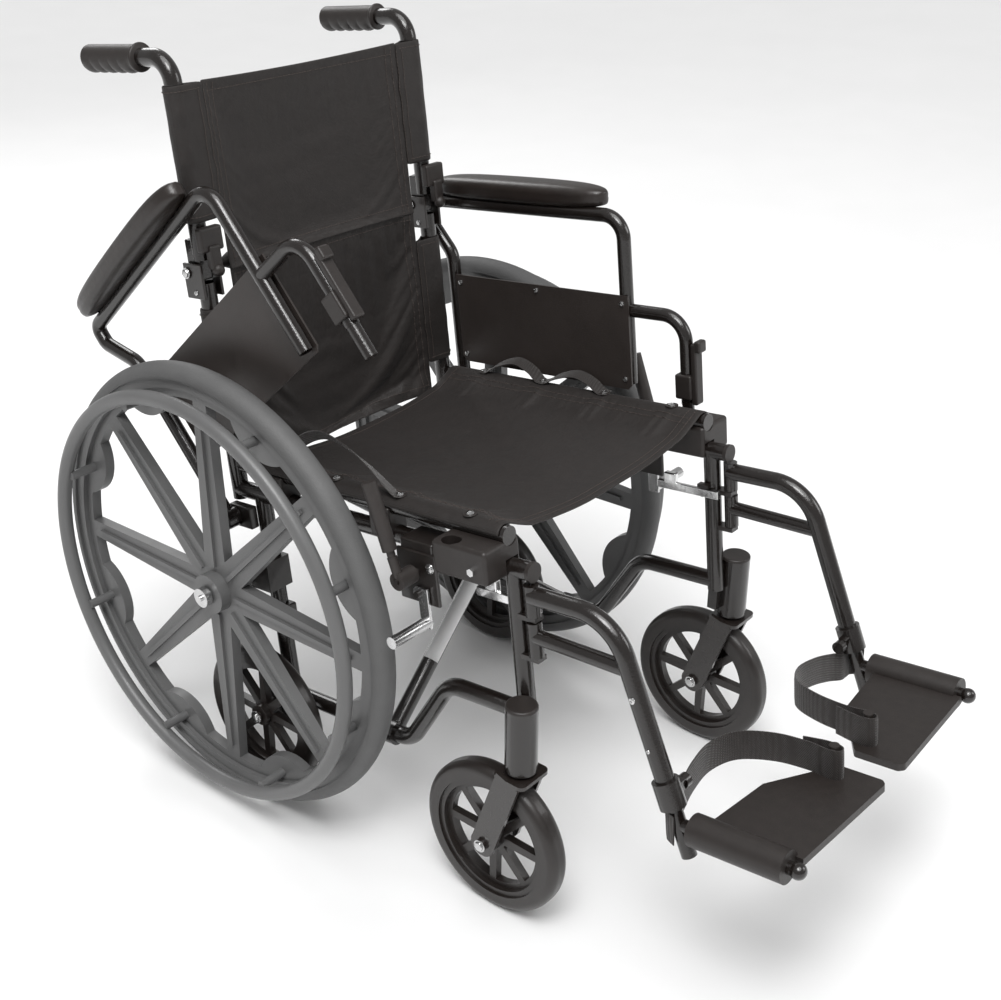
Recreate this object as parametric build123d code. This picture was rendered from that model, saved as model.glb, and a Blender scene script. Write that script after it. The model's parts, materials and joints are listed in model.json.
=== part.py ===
"""Folding manual wheelchair with quick-release mag wheels, transport wheels, flip-back arms,
half-folding back and swing-away footrests.

World frame: +X to the occupant's left, +Y to the rear, +Z up, millimetres. The side frames are raked,
so most places are given as (x, a, b): a runs rearwards along the seat rail from the big wheel's axle,
b rises square to it. The left side is modelled, and the right side is its mirror image.
"""
from build123d import *
from math import asin, cos, degrees, radians, sin
import os

# ---- driving dimensions -------------------------------------------------------------------------
RAKE = 6.5                      # the whole side frame leans back by this angle, degrees
WHEEL_R = 305.0                 # 24 inch wheel with its tyre
CASTER_R = 101.6                # 8 inch wheels, front and rear
FRAME_X = 200.0                 # centre plane of the frame tubes: a 16 inch wide seat
ARM_X = 234.0                   # centre plane of the armrest tubes
HANGER_X = 204.0                # centre plane of the footrest hangers
BIG_WHEEL_X = 274.0             # centre plane of the big wheels
RIM_R = 287.0                   # where the tyre sits on the rim
HANDRIM_X = 319.0
HANDRIM_R = 272.0
SMALL_WHEEL_X = 236.0           # rear transport wheels
CASTER_X = 227.0                # caster stems

TUBE_R = 11.1                   # 7/8 inch frame tube
WALL = 2.0
ARM_TUBE_R = 9.5                # 3/4 inch armrest tube
ARM_LOOP_R = 9.0                # front loop of the armrest
RECEIVER_R = 8.8                # axle receiver tube, just behind the rear post
FIT = 0.06                      # radial clearance of a running fit
GAP = 0.5                       # clearance between parts that move past each other

SEAT_RAIL_B = 146.0             # seat rail centre above the axle, square to the rake
TOP_RAIL_B = 108.5              # fixed upper side rail
LOW_RAIL_B = -185.0             # lower side rail, where the cross-brace turns
LOW_RAIL_FRONT_B = -79.0        # lower side rail after its step up to the caster
FRONT_POST_A = -445.0
REAR_POST_A = -20.0
CANE_A = 24.0
CANE_TOP_B = 652.0              # centre line of the push handles
BACK_PIVOT = (38.0, 398.0)      # (a, b) of the back's fold hinge
ARM_PIVOT = (12.0, 80.0)        # (a, b) of the armrest's rear hinge
ARM_FLIP = 36.0                 # the right armrest is kept part-way back, degrees
ARM_FRONT_A = -388.0            # front leg of the armrest, in the socket block
ARM_TUBE_FRONT_A = -296.0       # front of the armrest's main tube
ARM_TOP_B = 395.0               # armrest tube under the pad
DESK_B = 270.0                  # top of the low front loop
STEM_Y = -463.6                 # caster stem
CASTER_Y = -425.0               # front wheel axle, trailing behind the stem
SMALL_AXLE_B = -204.7           # transport wheel axle
LOCK_LEVER_X = 257.0            # centre plane of the wheel lock's hand lever
LOCK_PIVOT = (-318.0, 84.0)     # (a, b) of the hand lever's pin
SHOE_PIVOT = (-322.0, 58.0)     # (a, b) of the shoe arm's pin
HINGE_A = -470.0                # swing-away hinge of the footrest hanger
LEG_TOP = (-581.0, 82.0)        # (a, b) of the hanger tube's corner
LEG_END = (-646.0, -122.0)      # (a, b) of its lower end
FOOT_B = -148.0                 # footplate hinge
BRACE_A_FRONT = -210.0          # planes of the two cross-brace tubes
BRACE_A_REAR = -184.0
SEAT_SAG = 20.0                 # how far the sling hangs below its rails at the middle

BOTTOM = (Align.CENTER, Align.CENTER, Align.MIN)


# ---- frame helpers ------------------------------------------------------------------------------
def at(x, a, b):
    """World place of a point given along and square to the raked side frame."""
    c, s = cos(radians(RAKE)), sin(radians(RAKE))
    return Vector(x, a * c + b * s, WHEEL_R - a * s + b * c)


def raked(x=0, a=0, b=0):
    """A location whose X is world X, whose Y runs along a and whose Z runs along b."""
    return Location(at(x, a, b), (-RAKE, 0, 0))


def side_plane(x):
    """The raked side plane at x: its X runs along a, its Y along b, and it faces +X."""
    return Plane(origin=at(x, 0, 0), x_dir=at(0, 1, 0) - at(0, 0, 0), z_dir=(1, 0, 0))


def block(x, a, b, dx, da, db, fillet_r=0.0):
    """A box on the raked frame, with its long edges rounded if asked."""
    part = Box(dx, da, db)
    if fillet_r:
        part = fillet(part.edges(), fillet_r)
    return raked(x, a, b) * part


def rod_x(x0, x1, a, b, r):
    return raked((x0 + x1) / 2, a, b) * Rot(0, 90, 0) * Cylinder(r, abs(x1 - x0))


def rod_a(x, a0, a1, b, r):
    return raked(x, (a0 + a1) / 2, b) * Rot(90, 0, 0) * Cylinder(r, abs(a1 - a0))


def rod_b(x, a, b0, b1, r):
    return raked(x, a, (b0 + b1) / 2) * Cylinder(r, abs(b1 - b0))


def bolt_x(x0, x1, a, b, r, head_r, head=4.0):
    """A bolt along X from x0 to x1, with its hexagon head outside x1."""
    sign = 1 if x1 > x0 else -1
    hexagon = extrude(RegularPolygon(head_r, 6), head)
    head_part = raked(x1, a, b) * Rot(0, 90 * sign, 0) * hexagon
    return rod_x(x0, x1, a, b, r) + head_part


def run(points, radius, bend=28.0):
    """A solid round bar through the points, with bends between its straight runs."""
    if len(points) > 2:
        path = FilletPolyline(*points, radius=bend)
    else:
        path = Line(*points)
    return sweep(Plane(origin=path @ 0, z_dir=path % 0) * Circle(radius), path=path)


def hollow(runs, wall=WALL):
    """One welded tube frame: the runs are (points, radius, bend), and the wall is left all round."""
    outer = [run(p, r, bend) for p, r, bend in runs]
    inner = [run(p, r - wall, bend) for p, r, bend in runs]
    return fuse(outer) - fuse(inner)


def fuse(shapes):
    whole = shapes[0]
    for shape in shapes[1:]:
        whole = whole + shape
    return whole


def ring_x(x, y, z, r_out, r_in, width):
    part = Cylinder(r_out, width) - Cylinder(r_in, width + 2)
    return Location((x, y, z)) * Rot(0, 90, 0) * part


# ---- side frame ---------------------------------------------------------------------------------
def side_frame():
    """Welded tube frame of one side: rails, posts, cane tube and caster housing."""
    x = FRAME_X
    top_rail = [at(x, -468, TOP_RAIL_B), at(x, CANE_A, TOP_RAIL_B)]
    rear_post = [at(x, REAR_POST_A, TOP_RAIL_B), at(x, REAR_POST_A, -178)]
    front_post = [at(x, FRONT_POST_A, TOP_RAIL_B), at(x, FRONT_POST_A, -92)]
    low_rail = [
        at(x, REAR_POST_A, LOW_RAIL_B),
        at(x, -243, LOW_RAIL_B),
        at(x, -322, LOW_RAIL_FRONT_B),
        at(x, FRONT_POST_A, LOW_RAIL_FRONT_B),
    ]
    cane = [at(x, CANE_A, 96), at(x, CANE_A, 384)]
    frame = hollow([
        (top_rail, TUBE_R, 0),
        (rear_post, TUBE_R, 0),
        (front_post, TUBE_R, 0),
        (low_rail, TUBE_R, 40),
        (cane, TUBE_R, 0),
    ])
    stem_z = 262.0
    housing = Location((CASTER_X, STEM_Y, stem_z)) * (Cylinder(19.5, 86) - Cylinder(13, 88))
    gusset = Location((FRAME_X + 4, STEM_Y + 14, stem_z)) * Box(14, 14, 60)
    housing_gusset = gusset - Location((CASTER_X, STEM_Y, stem_z)) * Cylinder(19, 90)
    inside_post = rod_b(x, FRONT_POST_A, -92, 0, TUBE_R - WALL)
    return frame + (housing - inside_post) + (housing_gusset - inside_post)


def frame_fittings():
    """Clamped and riveted steel: axle receiver, rear brackets, hanger pins and arm pivot."""
    bolts = frame_bolts()
    receiver = rod_x(184, 244, 0, 0, RECEIVER_R)
    clamp = block(205, -11.5, 0, 38, 47, 42)
    receiver_clamp = receiver + clamp - rod_x(180, 250, 0, 0, 6.4)
    receiver_clamp = receiver_clamp - rod_b(FRAME_X, REAR_POST_A, -30, 30, TUBE_R) - bolts[0] - bolts[1]
    tip_clamp = block(203, -16, -62, 34, 42, 26, 3) - rod_b(FRAME_X, REAR_POST_A, -90, -30, TUBE_R)
    tip_tube = rod_a(FRAME_X + 6, 3, 48, -62, 9) - rod_a(FRAME_X + 6, 3, 50, -62, 7)
    tip_socket = tip_clamp + tip_tube - bolts[2]
    plate = block(213.6, -9, -186, 5, 46, 66, 1) - rod_x(200, 230, 0, SMALL_AXLE_B, 5) - bolts[3]
    lugs = []
    for b in (-1, 50):
        ear = block((FRAME_X + HANGER_X) / 2, -461, b + 3, 15, 30, 6)
        ear = ear - rod_b(FRAME_X, FRONT_POST_A, b - 9, b + 15, TUBE_R)
        lugs.append(ear + rod_b(HANGER_X, HINGE_A, b, b + 26, 5))
    arm_bracket = block(216.5, 4, 80, 13, 40, 30, 2) - rod_x(190, 240, *ARM_PIVOT, 5)
    arm_bracket = arm_bracket - rod_b(FRAME_X, REAR_POST_A, 60, 100, TUBE_R)
    arm_pin = rod_x(212, 245, *ARM_PIVOT, 5)
    lever_lug = block(FRAME_X - 14.5, FRONT_POST_A + 4, 63, 9, 16, 5)
    lever_lug = lever_lug - rod_b(FRAME_X, FRONT_POST_A, 40, 80, TUBE_R)
    lever_pin = rod_b(FRAME_X - 16, FRONT_POST_A + 6, 48, 66, 2.5)
    back_plates = []
    for dx in (-13.6, 13.6):
        plate_piece = block(FRAME_X + dx, 28, 388, 4, 34, 44, 1)
        plate_piece = plate_piece - rod_x(FRAME_X - 20, FRAME_X + 20, *BACK_PIVOT, 3)
        back_plates.append(plate_piece)
    pivot_pin = rod_x(FRAME_X - 17.5, FRAME_X + 17.5, *BACK_PIVOT, 3)
    return [receiver_clamp, tip_socket, plate, *lugs, arm_bracket + arm_pin, lever_lug + lever_pin,
            *back_plates, pivot_pin]


def frame_plastics():
    """Moulded pieces on the side frame: arm socket, seat-rail saddles and tube plugs."""
    socket = block(215, -402, 121, 60, 80, 42, 5)
    socket = socket - rod_a(FRAME_X, -450, -350, TOP_RAIL_B, TUBE_R)
    socket = socket - rod_b(FRAME_X, FRONT_POST_A, 60, 120, TUBE_R)
    socket = socket - rod_a(FRAME_X, -450, -350, SEAT_RAIL_B, TUBE_R + GAP)
    socket = socket - block(FRAME_X, -402, SEAT_RAIL_B + 10, 2 * (TUBE_R + GAP), 100, 20)
    hole = rod_b(ARM_X, ARM_FRONT_A, 108, 150, ARM_LOOP_R + GAP)
    hole = hole + rod_b(ARM_X, ARM_FRONT_A + 6, 108, 150, ARM_LOOP_R + GAP)
    hole = hole + block(ARM_X, ARM_FRONT_A + 3, 129, 2 * (ARM_LOOP_R + GAP), 6, 42)
    socket = socket - hole
    saddles = []
    for a in (-250, -62):
        saddle = block(FRAME_X, a, 126, 31, 34, 40, 3)
        saddle = saddle - rod_a(FRAME_X, a - 20, a + 20, TOP_RAIL_B, TUBE_R)
        saddle = saddle - rod_a(FRAME_X, a - 20, a + 20, SEAT_RAIL_B, TUBE_R + GAP)
        saddle = saddle - block(FRAME_X, a, SEAT_RAIL_B + 10, 2 * (TUBE_R + GAP), 40, 20)
        saddles.append(saddle)
    front_plug = rod_a(FRAME_X, -473, -468, TOP_RAIL_B, TUBE_R + 0.9)
    housing_cap = Location((CASTER_X, STEM_Y, 305)) * Cylinder(19.5, 4, align=BOTTOM)
    return [socket - frame_bolts()[4], *saddles, front_plug, fillet_top(housing_cap, 3)]


def fillet_top(part, r):
    return fillet(part.edges().sort_by(Axis.Z)[-1:], r)


def frame_bolts():
    """Screws and bolts of one side frame."""
    return [
        bolt_x(188, 224, 3, 15.5, 2.5, 6),
        bolt_x(188, 224, 3, -15.5, 2.5, 6),
        bolt_x(188, 220, -3, -54, 2.5, 6),
        bolt_x(211.2, 216.1, -9, -166, 2.5, 5),
        bolt_x(236, 245, -422, 116, 2.5, 5),
    ]


# ---- cross-brace --------------------------------------------------------------------------------
def cross_brace(plane_a, collar_a):
    """A brace tube from the right lower rail up to the left seat rail, with both its ends.

    The collar turns on the lower rail, and the seat rail is welded to the top.
    """
    foot = at(-FRAME_X, plane_a, LOW_RAIL_B)
    head = at(FRAME_X, plane_a, SEAT_RAIL_B)
    rail = rod_a(FRAME_X, -436, 6, SEAT_RAIL_B, TUBE_R)
    collar = rod_a(-FRAME_X, collar_a - 11, collar_a + 11, LOW_RAIL_B, 15.5)
    weld = head + (foot - head).normalized() * 2
    tube = hollow([([foot, weld], TUBE_R, 0)]) - rail - collar
    rail_bore = rod_a(FRAME_X, -440, 10, SEAT_RAIL_B, TUBE_R - WALL)
    lower_rail = rod_a(-FRAME_X, -260, -150, LOW_RAIL_B, TUBE_R + FIT)
    return [tube - lower_rail, rail - rail_bore, collar - lower_rail]


def rail_plugs():
    front = rod_a(FRAME_X, -441, -436, SEAT_RAIL_B, TUBE_R + 0.3)
    return [front, rod_a(FRAME_X, 6, 8, SEAT_RAIL_B, TUBE_R)]


# ---- back ---------------------------------------------------------------------------------------
def upper_cane():
    """The part of the back cane above the fold hinge, with its push handle's tube."""
    x = FRAME_X
    tube = hollow([([at(x, CANE_A, 413), at(x, CANE_A, CANE_TOP_B), at(x, 178, CANE_TOP_B)], TUBE_R, 30)])
    tongue = block(x, 31, 413, 18, 24, 50, 2) - rod_x(x - 20, x + 20, *BACK_PIVOT, 3 + FIT)
    return tube + tongue


def push_grip():
    """Moulded grip with finger ridges, closed at its end."""
    grip = rod_a(FRAME_X, 78, 184, CANE_TOP_B, 15)
    for k in range(5):
        grip = grip + raked(FRAME_X, 92 + 18 * k, CANE_TOP_B - 3) * grip_ridge(15.4, 9)
    return grip - rod_a(FRAME_X, 70, 178, CANE_TOP_B, TUBE_R)


def grip_ridge(r, half):
    """A ridge of the grip: a short barrel along Y, bevelled at both ends."""
    side = [(0, -half), (r - 2.5, -half), (r, 4 - half), (r, half - 4), (r - 2.5, half), (0, half)]
    profile = Polyline(*side, side[0])
    return revolve(Plane.XY * make_face(profile), Axis.Y, 360)


def back_latch():
    """Plastic release lever of the folding back, turning on a pin across the cane."""
    x = FRAME_X
    yoke = block(x, 4, 440, 34, 12, 30, 3)
    tail = block(x, 0, 418, 16, 12, 30, 3)
    knob = raked(x, -4, 402) * Sphere(8)
    lever = yoke + tail + knob
    lever = lever - rod_b(x, CANE_A, 400, 470, TUBE_R + GAP)
    lever = lever - block(x, 31, 413, 19, 25, 52)
    return lever


# ---- armrest ------------------------------------------------------------------------------------
def arm_frame():
    """Bent tube of the desk-length armrest, with its front loop down to the socket."""
    x = ARM_X
    main = [
        at(x, ARM_PIVOT[0], 86.5),
        at(x, ARM_PIVOT[0], 318),
        at(x, 52, 368),
        at(x, 52, ARM_TOP_B),
        at(x, ARM_TUBE_FRONT_A, ARM_TOP_B),
        at(x, ARM_TUBE_FRONT_A, 168),
    ]
    loop = [
        at(x, ARM_TUBE_FRONT_A, DESK_B),
        at(x, ARM_FRONT_A, DESK_B),
        at(x, ARM_FRONT_A, 152),
    ]
    tubes = hollow([(main, ARM_TUBE_R, [30, 18, 12, 30]), (loop, ARM_LOOP_R, 34)], 1.6)
    eye = rod_x(x - 10, x + 10, *ARM_PIVOT, 13)
    tip = rod_b(x, ARM_FRONT_A, 112, 160, ARM_LOOP_R - 0.8)
    return tubes + eye + tip - rod_x(200, 260, *ARM_PIVOT, 5 + FIT)


def arm_pad():
    """Rounded moulded pad, longer than it is wide, fixed on top of the armrest tube."""
    plan = SlotOverall(300, 48)
    body = extrude(plan, 26)
    body = fillet(body.faces().sort_by(Axis.Z)[-1].edges(), 10)
    body = fillet(body.faces().sort_by(Axis.Z)[0].edges(), 3)
    return raked(ARM_X + 12, -112, ARM_TOP_B + ARM_TUBE_R) * Rot(0, 0, 90) * body


def skirt_guard():
    """Flat plastic clothing guard, screwed to the inside of the armrest tubes."""
    x = ARM_X - ARM_TUBE_R - 2.6
    edge = [(0, 292), (-306, 292), (-306, 168), (-300, 162), (-8, 162), (0, 170)]
    return extrude(side_plane(x) * make_face(Polyline(*edge, edge[0])), 2.6)


def arm_latch():
    """Spring lever on the armrest's front leg that locks it into the socket."""
    x, a = ARM_X, ARM_FRONT_A
    lever = block(x, a - 15, 196, 17, 9, 84, 3)
    thumb = block(x, a - 21, 234, 17, 10, 16, 3)
    collar = block(x, a, 178, 25, 25, 34, 3) - rod_b(x, a, 150, 200, ARM_LOOP_R + GAP)
    return lever + thumb + collar


# ---- wheel lock ---------------------------------------------------------------------------------
def lock_bracket():
    """Clamp and plate that hold the wheel lock below the upper rail."""
    clamp = block(206, -318, 104, 40, 52, 34, 3)
    clamp = clamp - rod_a(FRAME_X, -350, -290, TOP_RAIL_B, TUBE_R)
    plate = block(226, -318, 76, 5, 62, 66, 2)
    body = clamp + plate
    pins = rod_x(226, 265, *LOCK_PIVOT, 4) + rod_x(226, 238, *SHOE_PIVOT, 4)
    return body + pins


def lock_lever():
    """Push-to-lock hand lever with its rubber sleeve."""
    x = LOCK_LEVER_X
    hub = rod_x(236, x + 5, *LOCK_PIVOT, 11)
    web = run([at(x, *LOCK_PIVOT), at(x, -310, 112)], 6)
    lever = run([at(x, -311, 108), at(x, -292, 178)], 5)
    sleeve = run([at(x, -308, 120), at(x, -287, 200)], 9)
    sleeve = sleeve - run([at(x, -311, 108), at(x, -292, 178)], 5)
    metal = (hub + web + lever) - rod_x(230, 270, *LOCK_PIVOT, 4 + FIT)
    metal = metal - run([at(x, -308, 120), at(x, -287, 200)], 9) + lever
    return [metal, sleeve]


def lock_shoe():
    """Shoe arm and bar that press on the tyre tread."""
    hub = rod_x(229.5, 233.5, *SHOE_PIVOT, 9)
    hub = hub - rod_x(226, 256, *SHOE_PIVOT, 4 + FIT)
    arm = block(231.5, SHOE_PIVOT[0] - 6, 40, 4, 16, 52, 1) - rod_x(226, 256, *SHOE_PIVOT, 4 + FIT)
    bar = rod_x(229.5, 292, SHOE_PIVOT[0] - 7, 22, 7.5)
    return hub + arm + bar


# ---- wheels -------------------------------------------------------------------------------------
def mag_wheel():
    """One-piece moulded wheel: hub, eight tapered spokes and a rim with a wavy inner edge."""
    rim = Circle(RIM_R) - Circle(262)
    spoke = make_face(Polyline((15, -21), (268, -12), (268, 12), (15, 21), (15, -21)))
    web = Sketch() + rim
    for k in range(8):
        web = web + Rot(0, 0, 45 * k) * spoke
        lobe = Rot(0, 0, 45 * k + 22.5) * Pos(300, 0) * Circle(62)
        web = web + (lobe & Circle(270))
    web = web + Circle(34)
    plate = extrude(web, 7, both=True)
    rib = Box(210, 6, 22)
    for k in range(8):
        plate = plate + Rot(0, 0, 45 * k) * Pos(140, 0, 0) * rib
    flange = Cylinder(RIM_R, 26) - Cylinder(274, 28)
    hub = Cylinder(27, 46)
    wheel = plate + flange + hub - Cylinder(12, 60)
    return Location((BIG_WHEEL_X, 0, WHEEL_R)) * Rot(0, 90, 0) * wheel


def tyre():
    """Solid tyre, round in section, seated in the rim."""
    section = (Pos(WHEEL_R - 15.5, 0) * Ellipse(15.5, 17)) & (Pos(RIM_R + 15, 0) * Rectangle(30, 40))
    tread = revolve(Plane.XZ * section, Axis.Z, 360)
    return Location((BIG_WHEEL_X, 0, WHEEL_R)) * Rot(0, 90, 0) * tread


def handrim():
    """Push rim with eight stand-offs to the wheel's rim."""
    ring = Location((HANDRIM_X, 0, WHEEL_R)) * Rot(0, 90, 0) * Torus(HANDRIM_R, 9.5)
    for k in range(8):
        turn = Location((0, 0, WHEEL_R)) * Rot(45 * k + 22.5, 0, 0)
        start = BIG_WHEEL_X + 7
        tab = Location(((start + HANDRIM_X) / 2, 0, 262)) * Rot(0, 90, 0) * Cylinder(6, HANDRIM_X - start)
        ring = ring + turn * tab
    return ring


def axle():
    """Quick-release axle pin with its head and centre push button."""
    pin = rod_x(176, 300, 0, 0, 6.3)
    head = rod_x(300, 309, 0, 0, 13)
    pin = pin + head - rod_x(280, 312, 0, 0, 4.1)
    return pin


def axle_button():
    return rod_x(292, 312, 0, 0, 4)


def hub_bearings():
    """Two ball-bearing rings pressed in the hub."""
    rings = []
    for x in (BIG_WHEEL_X - 18, BIG_WHEEL_X + 18):
        rings.append(ring_x(x, 0, WHEEL_R, 12, 6.36, 8))
    return rings


def small_wheel(x, y):
    """Eight-inch moulded wheel with eight spokes and a solid tyre, each its own solid."""
    web = Circle(80) - Circle(66)
    for k in range(8):
        spoke = make_face(Polyline((8, -6), (70, -5), (70, 5), (8, 6), (8, -6)))
        web = web + Rot(0, 0, 45 * k) * spoke
    web = web + Circle(19)
    plate = extrude(web, 5, both=True)
    rim = Cylinder(80, 24) - Cylinder(73, 26)
    core = plate + rim + Cylinder(15, 28) - Cylinder(5 + FIT, 60)
    tread = Cylinder(CASTER_R, 30) - Cylinder(80, 32)
    tread = fillet(tread.edges().filter_by(lambda e: e.bounding_box().size.X > 190), 11)
    place = Location((x, y, CASTER_R)) * Rot(0, 90, 0)
    return [place * core, place * tread]


def transport_axle():
    """Shoulder bolt of the rear transport wheel, with its nut."""
    pos = at(0, 0, SMALL_AXLE_B)
    shaft = Location(((205 + 252) / 2, pos.Y, pos.Z)) * Rot(0, 90, 0) * Cylinder(5, 47)
    head = Location((254, pos.Y, pos.Z)) * Rot(0, 90, 0) * Cylinder(8.5, 4)
    spacer = Location((218.6, pos.Y, pos.Z)) * Rot(0, 90, 0) * Cylinder(8, 4.8)
    return shaft + head + spacer


# ---- front caster -------------------------------------------------------------------------------
def caster_fork():
    """Bent steel fork on its stem, with the wheel's axle bolt as a second solid."""
    x = CASTER_X
    stem = Location((x, STEM_Y, 255)) * Cylinder(10, 84)
    crown = fillet(Box(52, 46, 5).edges().filter_by(Axis.Z), 8)
    crown = Location((x, STEM_Y, 212)) * crown
    legs = []
    slant = degrees(asin((CASTER_Y - STEM_Y) / 120))
    for side in (-1, 1):
        leg = Location((x + side * 23.5, (STEM_Y + CASTER_Y) / 2, 157)) * Rot(slant, 0, 0) * Box(5, 34, 120)
        legs.append(leg)
    fork = stem + crown + legs[0] + legs[1]
    boss = Location((x, CASTER_Y, CASTER_R)) * Rot(0, 90, 0)
    fork = fork + boss * Cylinder(17, 52) - boss * Cylinder(18, 42)
    fork = fork - boss * Cylinder(5, 70)
    bearings = [Location((x, STEM_Y, z)) * (Cylinder(13, 9) - Cylinder(10 + FIT, 10)) for z in (232, 292)]
    bolt = boss * Cylinder(5, 60) + boss * Pos(0, 0, 28) * Cylinder(8, 4) + boss * Pos(0, 0, -28) * Cylinder(8, 4)
    return [fork, bolt], bearings


# ---- footrest -----------------------------------------------------------------------------------
def along_leg(b):
    """The hanger leg's a at height b."""
    t = (b - LEG_TOP[1]) / (LEG_END[1] - LEG_TOP[1])
    return LEG_TOP[0] + t * (LEG_END[0] - LEG_TOP[0])


def hanger():
    """Swing-away hanger: bent tube, strut and the two hinge sockets."""
    x = HANGER_X
    top = [at(x, HINGE_A, 82), at(x, *LEG_TOP), at(x, *LEG_END)]
    strut = [at(x, HINGE_A, 31), at(x, along_leg(26), 26)]
    tubes = fuse([run(top, TUBE_R, 62), run(strut, TUBE_R - 2)])
    tubes = tubes - run(top, TUBE_R - 1.9, 62)
    tubes = tubes - run([at(x, HINGE_A, 31), at(x, along_leg(26) + 4, 26)], TUBE_R - 4)
    sockets = rod_b(x, HINGE_A, 5 + GAP, 49, 9) + rod_b(x, HINGE_A, 56 + GAP, 95, 9)
    whole = tubes + sockets
    clear = rod_b(x, HINGE_A, 0, 76.2, 5 + FIT)
    whole = whole - clear
    notch = block((FRAME_X + HANGER_X) / 2, -461, 53, 16, 32, 7)
    return whole - notch - raked(x, HINGE_A, 53) * Cylinder(18, 7)


def clamp_collar():
    """Height clamp at the foot of the hanger, with its thumb screw."""
    d = (at(0, *LEG_END) - at(0, *LEG_TOP)).normalized()
    end = at(HANGER_X, *LEG_END)
    start = end - d * 26
    collar = run([start, end + d * 6], 15.5)
    collar = collar - run([start - d * 5, end], TUBE_R) - run([start, end + d * 12], 9.3)
    ear = Location(end - d * 10 + Vector(-17, 0, 0)) * Box(14, 10, 16)
    ear = ear - run([start - d * 5, end + d * 12], 15)
    knob = Location(end - d * 10 + Vector(-29, 0, 0)) * Rot(0, 90, 0) * Cylinder(8, 9)
    return collar + ear + knob


def extension():
    """Height tube that slides in the hanger, with the footplate's hinge pin and end ball."""
    d = (at(0, *LEG_END) - at(0, *LEG_TOP)).normalized()
    end = at(HANGER_X, *LEG_END)
    tube = run([end - d * 110, end + d * 66], 9.1) - run([end - d * 112, end + d * 60], 7)
    pin = rod_a(HANGER_X, -795, -658, FOOT_B, 7.5)
    return tube + pin


def end_ball():
    a = -800
    return raked(HANGER_X, a, FOOT_B) * Sphere(9.5) - rod_a(HANGER_X, -795, -700, FOOT_B, 7.5)


def footplate():
    """Moulded footplate with its hinge barrel; the inner rear corner is cut back."""
    barrel = rod_a(HANGER_X, -789, -673, FOOT_B, 19)
    edge = [(190, -684), (190, -798), (24, -806), (18, -800), (18, -746), (96, -694)]
    plan = make_face(Polyline(*edge, edge[0]))
    plan = fillet(plan.vertices().filter_by(lambda v: v.X < 60), 6)
    plate = extrude(plan, 9)
    plate = raked(0, 0, FOOT_B - 4) * plate
    post = rod_b(40, -752, FOOT_B + 4, FOOT_B + 46, 6)
    foot = barrel + plate + post
    return foot - rod_a(HANGER_X, -800, -650, FOOT_B, 7.5 + FIT)


def heel_strap():
    """Webbing heel loop from behind the height tube round to the footplate's post."""
    strap_b = FOOT_B + 26
    line = FilletPolyline((184, -668), (140, -634), (64, -640), (42, -741), radius=16)
    band = trace(line, 2.4)
    return raked(0, 0, strap_b - 20) * extrude(band, 40)


def hanger_lever():
    """Chromed release lever of the swing-away hanger."""
    x = FRAME_X - 16
    bar = block(x, -412, 54, 6, 84, 11, 1)
    tab = block(x - 2, -392, 66, 9, 18, 16, 2)
    hook = block(x + 1, -458, 54, 8, 12, 11, 1)
    lever = bar + tab + hook
    return lever - rod_b(x, FRONT_POST_A + 6, 40, 70, 2.5 + FIT)


# ---- upholstery ---------------------------------------------------------------------------------
def seat_sling():
    """Nylon seat between the seat rails, a little lower at its middle."""
    edge, flat = FRAME_X + 12, FRAME_X - TUBE_R - 4
    low = SEAT_RAIL_B + TUBE_R + GAP
    high = low + 4
    outline = [
        Line((-edge, low), (-flat, low)),
        ThreePointArc((-flat, low), (0, low - SEAT_SAG), (flat, low)),
        Line((flat, low), (edge, low)),
        Line((edge, low), (edge, high)),
        Line((edge, high), (flat, high)),
        ThreePointArc((flat, high), (0, high - SEAT_SAG), (-flat, high)),
        Line((-flat, high), (-edge, high)),
        Line((-edge, high), (-edge, low)),
    ]
    return raked(0, -4, 0) * extrude(Plane.XZ * make_face(outline), 430)


def back_panel(b0, b1, sleeve0, sleeve1):
    """A back panel between the canes, with a sleeve round each cane."""
    half = FRAME_X - 17
    panel = block(0, CANE_A, (b0 + b1) / 2, 2 * half, 6, b1 - b0)
    whole = panel
    for side in (-1, 1):
        x = side * FRAME_X
        sleeve = rod_b(x, CANE_A, sleeve0, sleeve1, TUBE_R + 3)
        web = block(side * (half + 3), CANE_A, (sleeve0 + sleeve1) / 2, 8, 6, sleeve1 - sleeve0)
        whole = whole + sleeve + web
        whole = whole - rod_b(x, CANE_A, sleeve0 - 5, sleeve1 + 5, TUBE_R + 0.5)
    return whole


# ---- assembly -----------------------------------------------------------------------------------
def group(*solids):
    """Separate solids that share one node."""
    flat = []
    for item in solids:
        flat.extend(item if isinstance(item, (list, tuple)) else [item])
    return Compound(children=[s for part in flat for s in part.solids()])


def flipped_arm(shape):
    """Turn a right armrest piece back about its rear hinge."""
    axis = Axis(at(0, *ARM_PIVOT), (-1, 0, 0))
    return shape.rotate(axis, ARM_FLIP)


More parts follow.
